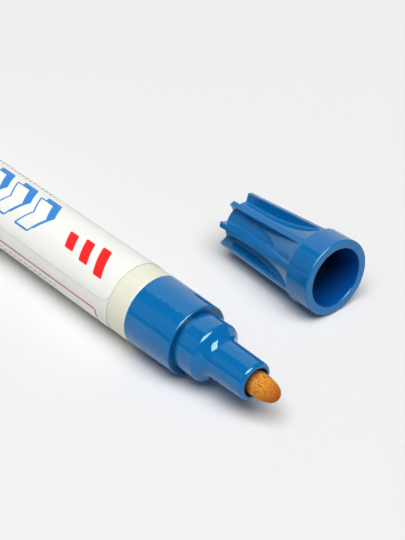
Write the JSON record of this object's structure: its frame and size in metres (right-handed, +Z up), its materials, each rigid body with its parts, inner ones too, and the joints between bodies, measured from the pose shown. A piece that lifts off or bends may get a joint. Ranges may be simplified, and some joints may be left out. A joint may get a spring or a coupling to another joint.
{
  "type": "paint marker",
  "caption": "Valve-action paint marker: enamelled metal barrel in a film label, stepped plastic front with a bullet fibre nib, and a finned cap lying beside it.",
  "frame": {"origin": "middle of the barrel's closed end, on the marker's axis", "axes": "+X along the marker's axis towards the nib, +Z up from the table that the marker and the cap lie on"},
  "size_m": [0.131, 0.0483, 0.0166],
  "materials": {
    "cream_enamel": "cream enamel on aluminium, satin",
    "label_film": "white printed film, satin",
    "blue_plastic": "moulded, polished",
    "nib_fibre": "bonded fibre soaked with amber paint",
    "valve_plastic": "natural moulded plastic",
    "seal_rubber": "moulded rubber",
    "spring_steel": "drawn wire",
    "ball_steel": "polished"
  },
  "bodies": {
    "marker": {"barrel": "cream_enamel", "label": "label_film", "front_section": "blue_plastic", "seal_ring": "seal_rubber", "valve_seat": "valve_plastic", "spring_holder": "valve_plastic", "valve_spring": "spring_steel"},
    "nib_unit": {"nib": "nib_fibre", "valve_stem": "valve_plastic", "valve_seal": "seal_rubber"},
    "ball": {"mixing_ball": "ball_steel"},
    "cap": {"cap": "blue_plastic"}
  },
  "joints": [
    {"name": "nib_press", "type": "slide", "parent": "marker", "child": "nib_unit", "axis": [-1, 0, 0], "range_m": [0, 0.002], "stiffness_N_per_m": 400, "springref_m": -0.0025, "deforming": ["valve_spring"]},
    {"name": "cap_slide", "type": "slide", "parent": "marker", "child": "cap", "axis": [-0.998, 0.0628, 0], "range_m": [0, 0.025]},
    {"name": "ball_roll", "type": "slide", "parent": "marker", "child": "ball", "axis": [1, 0, 0], "range_m": [-0.0507, 0.0267]}
  ]
}
